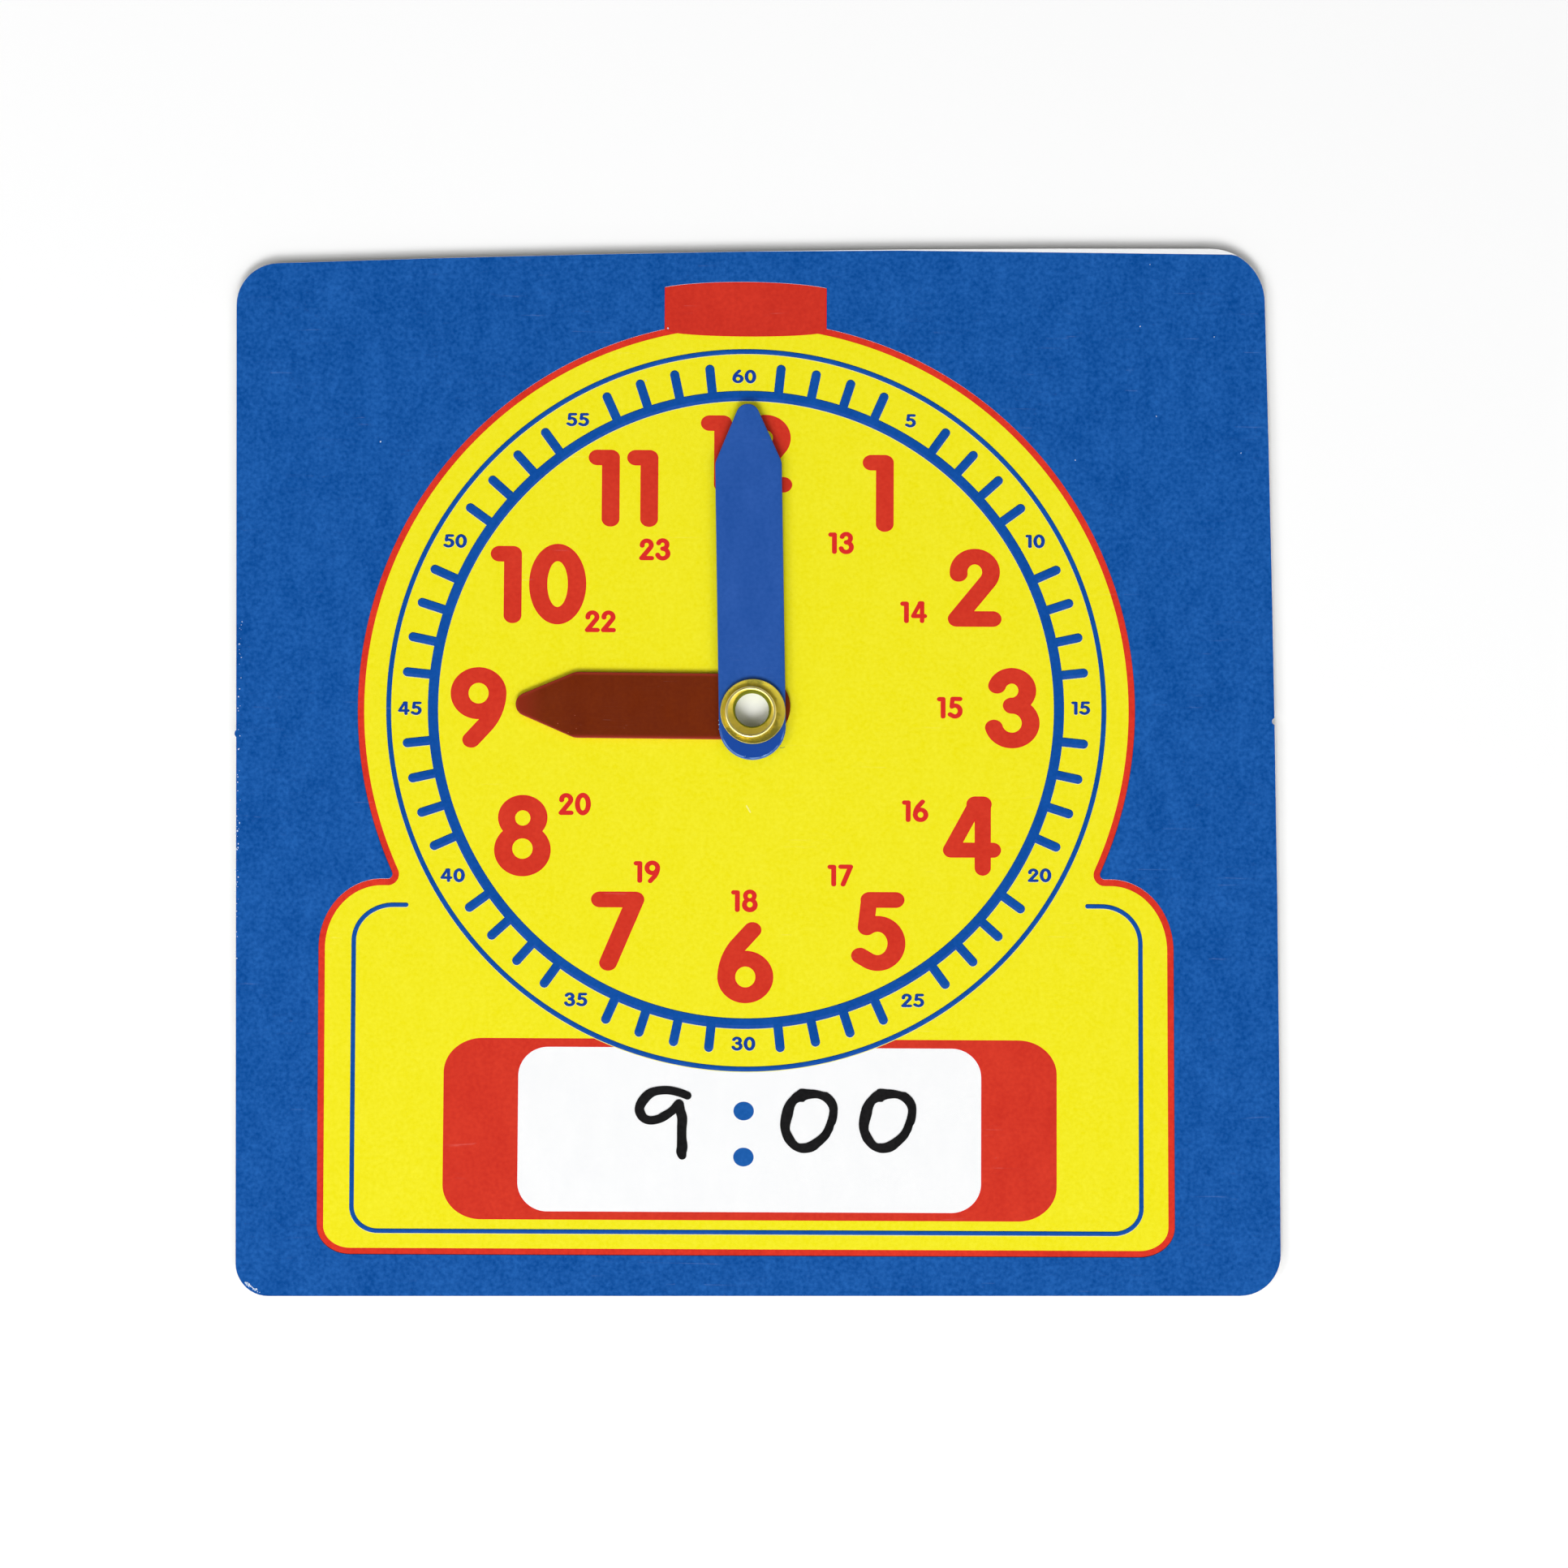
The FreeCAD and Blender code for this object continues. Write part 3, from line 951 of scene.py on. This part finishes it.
minute_plastic = plastic(
    "minute_plastic", screen(30, 78, 157), screen(46, 92, 173), screen(120, 160, 215), minute_edge,
    screen(20, 68, 157), minute_tail, 0.35,
)
dress("minute_hand", minute_plastic)
chip_blue = printed("minute_chip", screen(120, 165, 215), screen(180, 206, 234), 0.8, 0.6)
minute_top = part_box("minute_hand")[1].z / mm
tail_chips = (
    (-0.95, -5.20), (-0.74, -5.18), (1.36, -5.10), (1.52, -5.02),
    (-3.66, -1.23), (-3.64, -1.68), (-3.63, -2.18),
)
nicks("minute_hand_chips", tail_chips, 0.05, minute_top, "minute", chip_blue)


# ---- eyelet and washer -----------------------------------------------------
# Thin brass. The washer is dished and loose under the curl, and the eyelet's barrel was
# rolled over it with a setting tool, which leaves fine rings. The brass is tarnished to a dulled olive tone;
# the darker olive down the bore is painted shade, the pale crest ring is partly a painted highlight,
# and the washer's lighter sides are painted light.

def brass(
    name, bright, dull, roughness, ring_size, middle, rub_and_highlight_radius, rub_and_highlight_half,
    painted_shade_within=0.0, lean=(0, 0, 0), painted_light_bands=(0, 0, 0),
):
    """Tarnished brass with a ring that is rubbed bright and partly a painted highlight, about a middle a
    little off the axis.
    """
    finish, tree, shader, place = new_finish(name)
    from_lip = from_axis(tree, place, *middle)
    height = along(tree, place, (0.0, 0.0, 1.0))
    spun = put(tree, "ShaderNodeCombineXYZ", {"X": from_lip, "Z": height}).outputs[0]
    rings = put(tree, "ShaderNodeTexNoise", {"Vector": spun, "Scale": ring_size, "Detail": 3.0})
    spots = put(tree, "ShaderNodeTexNoise", {"Vector": place, "Scale": 700.0, "Detail": 4.0}).outputs["Fac"]
    squared = put(tree, "ShaderNodeVectorMath", {0: place, 1: place}, operation="MULTIPLY").outputs[0]
    # The lean and the bands shift the tarnish by place, which is painted light: one side of the washer
    # lighter than another.
    uneven = work_out(tree, "ADD", along(tree, place, lean), along(tree, squared, painted_light_bands))
    tarnish_and_painted_light = shape_of(tree, work_out(tree, "ADD", spots, uneven), 0.42, 0.68)
    # Down the bore the brass turns dark olive and less metallic: painted shade.
    inside = shape_of(
        tree, from_axis(tree, place, 0.0, 0.0), (painted_shade_within + 0.1) * mm, (painted_shade_within - 0.02) * mm
    )
    tone = blend(tree, inside, blend(tree, tarnish_and_painted_light, bright, dull), (0.26, 0.28, 0.025, 1))
    # The ring on the crest is partly rubbed wear and partly a painted highlight, pale and smoother.
    aside = work_out(tree, "ABSOLUTE", work_out(tree, "SUBTRACT", from_lip, rub_and_highlight_radius * mm))
    rubbed_and_highlit = shape_of(tree, aside, rub_and_highlight_half * mm, rub_and_highlight_half * 0.3 * mm)
    tree.links.new(blend(tree, rubbed_and_highlit, tone, (0.97, 0.84, 0.34, 1)), shader.inputs["Base Color"])
    tree.links.new(work_out(tree, "MULTIPLY_ADD", inside, -0.2, 1.0), shader.inputs["Metallic"])
    shader.inputs["Specular IOR Level"].default_value = 0.1
    shader.inputs["Specular Tint"].default_value = (0.62, 0.58, 0.22, 1)
    satin = work_out(tree, "MULTIPLY_ADD", spots, 0.16, roughness)
    tree.links.new(work_out(tree, "MULTIPLY_ADD", rubbed_and_highlit, -0.12, satin), shader.inputs["Roughness"])
    turned = put(
        tree, "ShaderNodeBump", {"Strength": 0.35, "Distance": 0.02 * mm, "Height": rings.outputs["Fac"]}
    )
    tree.links.new(turned.outputs[0], shader.inputs["Normal"])
    return finish


def spun_ring(name, path, off, finish):
    """A closed ring from its wall's outline: radius, height, and share of the way off centre."""
    around = 128
    turn = [2 * math.pi * k / around for k in range(around)]
    ring = bmesh.new()
    loops = []
    for radius, height, share in path:
        x, y = off[0] * share, off[1] * share
        loops.append([
            ring.verts.new(((x + radius * math.cos(a)) * mm, (y + radius * math.sin(a)) * mm, height * mm))
            for a in turn
        ])
    for low, high in zip(loops, loops[1:] + loops[:1]):
        for k in range(around):
            following = (k + 1) % around
            ring.faces.new((low[k], low[following], high[following], high[k])).smooth = True
    bmesh.ops.recalc_face_normals(ring, faces=ring.faces)
    mesh = bpy.data.meshes.new(name)
    ring.to_mesh(mesh)
    mesh.set_sharp_from_angle(angle=math.radians(50))
    mesh.materials.append(finish)
    piece = in_scene(name, mesh)
    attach(piece, "card")
    return piece


# The washer is cupped: its rim stands up a little round the lip, and keeps it off the hand.
washer_low, washer_top = [corner.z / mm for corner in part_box("eyelet_washer")]
washer_off = (0.08, -0.26)
washer_hole, washer_reach, cup_floor = 2.60, 3.58, washer_top - 0.11
cup = [
    (washer_hole, washer_low, 1), (3.00, washer_low, 1), (washer_reach, washer_low + 0.10, 1),
    *[(*p, 1) for p in arc(washer_reach - 0.05, washer_top - 0.05, 0.05, 0.05, 0, 105)],
    (3.05, cup_floor, 1), (washer_hole, cup_floor, 1),
]
# Its lean and bands are painted light: lighter at the left and right, darker at the top and most at the
# bottom.
washer_brass = brass(
    "washer_brass", (0.84, 0.68, 0.075, 1), (0.34, 0.30, 0.045, 1), 0.42, 9000.0, washer_off, 3.53, 0.02,
    lean=(7, -18, 0), painted_light_bands=(-9000, 9000, 0),
)
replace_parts(spun_ring("cupped_washer", cup, washer_off, washer_brass), "eyelet_washer")

# The eyelet's wall goes up its face and back down inside. The tool sat off centre, so
# the rolled lip is wide at the lower left and narrow at the upper right.
bore, mouth, wall = 1.92, 2.14, 0.25
crest, lip_foot = 2.68, 2.86
lip_off = (-0.17, -0.36)
land, seat, lip_top = 2.27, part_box("back_film")[0].z / mm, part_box("eyelet")[1].z / mm
eyelet_wall = (
    [(*p, 0) for p in arc(3.0, seat, 0.5, seat, 0, -90) + arc(land, 0.45, 0.45, 0.45, 270, 180)]
    + [(bore, 2.30, 0)]
    + [(*p, 0) for p in arc(mouth + 0.06, lip_top - 0.24, 0.06, 0.06, 165, 105)]
    + [(crest - 0.26, lip_top - 0.06, 0.85)]
    + [(*p, 1) for p in arc(crest - 0.04, lip_top - 0.20, 0.20, 0.20, 106, 12)]
    + [(lip_foot, cup_floor + 0.16, 1), (lip_foot - 0.02, cup_floor + 0.02, 1)]
    + [(lip_foot - wall, cup_floor + 0.03, 0.9), (bore + wall + 0.12, lip_top - 0.62, 0)]
    + [(bore + wall, 2.30, 0), (bore + wall, 0.45, 0), (land, wall, 0), (3.0, wall, 0), (3.25, seat, 0)]
)
# The dark olive down the bore is painted shade.
lip_brass = brass(
    "eyelet_brass", (0.92, 0.71, 0.09, 1), (0.72, 0.57, 0.065, 1), 0.44, 6000.0, lip_off, crest, 0.25,
    painted_shade_within=2.06,
)
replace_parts(spun_ring("rolled_eyelet", eyelet_wall, lip_off, lip_brass), "eyelet")


# ---- table, light and camera -----------------------------------------------
# A plain white table under two large soft lamps, one below and one to the left, and a
# pale room with a dark hood straight overhead, where the camera looks down.

table_radius = 2.5
table_rim = oval(0, 0, table_radius, table_radius)
table_mesh = bpy.data.meshes.new("table_top")
table_mesh.from_pydata([(x, y, 0.0) for x, y in table_rim], [], [range(len(table_rim))])
table = in_scene("table_top", table_mesh)
table_finish, tree, shader, place = new_finish("table_white")


def shows_background(tree):
    """One for a ray from the eye, and one for a ray from a shiny or a clear surface."""
    path = tree.nodes.new("ShaderNodeLightPath")
    shiny = work_out(tree, "MAXIMUM", path.outputs["Is Glossy Ray"], path.outputs["Is Transmission Ray"])
    return path.outputs["Is Camera Ray"], shiny


# Away from the lamps the table fades into the white of the room.
shown = work_out(tree, "MAXIMUM", *shows_background(tree))
away = from_axis(tree, place, 0.0, 0.0)
faded = work_out(tree, "MULTIPLY", shown, shape_of(tree, away, 0.25, 0.90))
table_tone = blend(tree, shown, (0.80, 0.80, 0.80, 1), (1.0, 1.0, 1.0, 1))
tree.links.new(blend(tree, faded, table_tone, (0.0, 0.0, 0.0, 1)), shader.inputs["Base Color"])
tree.links.new(faded, shader.inputs["Emission Color"])
shader.inputs["Emission Strength"].default_value = 1.0
shader.inputs["Roughness"].default_value = 1.0
shader.inputs["Specular IOR Level"].default_value = 0.0
tree.links.new(front_side(tree), shader.inputs["Alpha"])
table_mesh.materials.append(table_finish)

world = bpy.data.worlds.new("room")
bpy.context.scene.world = world
world.use_nodes = True
tree = world.node_tree
room_light = tree.nodes["Background"]
direction = tree.nodes.new("ShaderNodeTexCoord").outputs["Generated"]
toward = put(tree, "ShaderNodeSeparateXYZ", {"Vector": direction})
overhead = along(tree, direction, (0.0, 0.075, 0.997))
room = shape_of(tree, toward.outputs["Z"], 0.45, 0.80, 0.40, 1.93)
near_side = shape_of(tree, toward.outputs["Y"], -0.45, 0.15, 1.45, 0.26)
hood = shape_of(tree, overhead, 0.78, 0.88, 1.0, 0.03)
level = work_out(tree, "MULTIPLY", work_out(tree, "MULTIPLY", room, near_side), hood)
seen, shiny = shows_background(tree)
backdrop = work_out(tree, "MULTIPLY", shiny, shape_of(tree, toward.outputs["Z"], 0.42, 0.30))
plain_white = work_out(tree, "MAXIMUM", seen, backdrop)
strength = put(tree, "ShaderNodeMix", {0: plain_white, 2: level, 3: 1.0}, data_type="FLOAT")
tree.links.new(strength.outputs[0], room_light.inputs["Strength"])
room_light.inputs["Color"].default_value = (1.0, 1.0, 1.0, 1)

for name, watts, place in (
    ("lamp_below", 6.7, (-0.10, -0.84, 0.84)),
    ("lamp_left", 1.6, (-0.80, -0.30, 0.84)),
):
    lamp_data = bpy.data.lights.new(name, "AREA")
    lamp_data.shape = "DISK"
    lamp_data.size = 0.46
    lamp_data.energy = watts
    lamp = in_scene(name, lamp_data)
    lamp.location = place
    lamp.rotation_mode = "QUATERNION"
    lamp.rotation_quaternion = (-Vector(place)).to_track_quat("-Z", "Y")

camera_data = bpy.data.cameras.new("camera")
camera_data.sensor_width = 36.0
camera_data.lens = 93.82
camera_data.clip_start = 0.01
camera_data.clip_end = 20.0
camera = in_scene("camera", camera_data)
camera.location = (-0.00222, -0.04023, 0.44997)
camera.rotation_mode = "ZYX"
camera.rotation_euler = (math.radians(4.091), math.radians(-0.736), math.radians(0.324))
bpy.context.scene.camera = camera
bpy.context.scene.view_settings.view_transform = "Standard"
